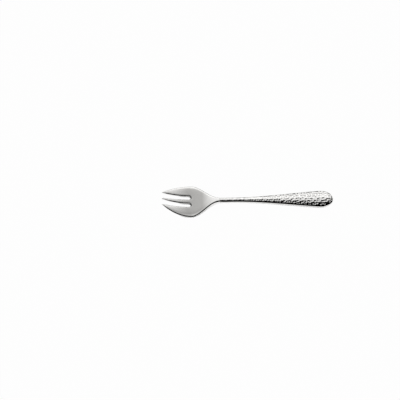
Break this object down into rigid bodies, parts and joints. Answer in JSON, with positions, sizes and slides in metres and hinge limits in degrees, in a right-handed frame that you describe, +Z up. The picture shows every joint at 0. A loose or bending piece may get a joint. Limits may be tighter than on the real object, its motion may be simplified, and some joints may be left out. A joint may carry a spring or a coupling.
{
  "type": "oyster fork",
  "caption": "short oyster fork with a broad satin three-tined head, narrow neck and a hammered handle widening to a rounded palm end",
  "frame": {"origin": "bottom centre of the fork's bounding box, on the table that the fork lies on face up", "axes": "+X from the tine tips to the palm end of the handle, +Y across the fork, +Z up out of the face of the fork"},
  "size_m": [0.145, 0.0288, 0.009],
  "materials": {
    "satin_steel": "satin",
    "hammered_steel": "hammered, polished",
    "hard_solder": "dressed flush",
    "resin_cement": "cast"
  },
  "bodies": {
    "root": {"fork_head": "satin_steel", "handle_top_shell": "hammered_steel", "handle_bottom_shell": "hammered_steel", "side_seam_solder": "hard_solder", "neck_solder_ring": "hard_solder", "handle_filler": "resin_cement"}
  },
  "joints": []
}
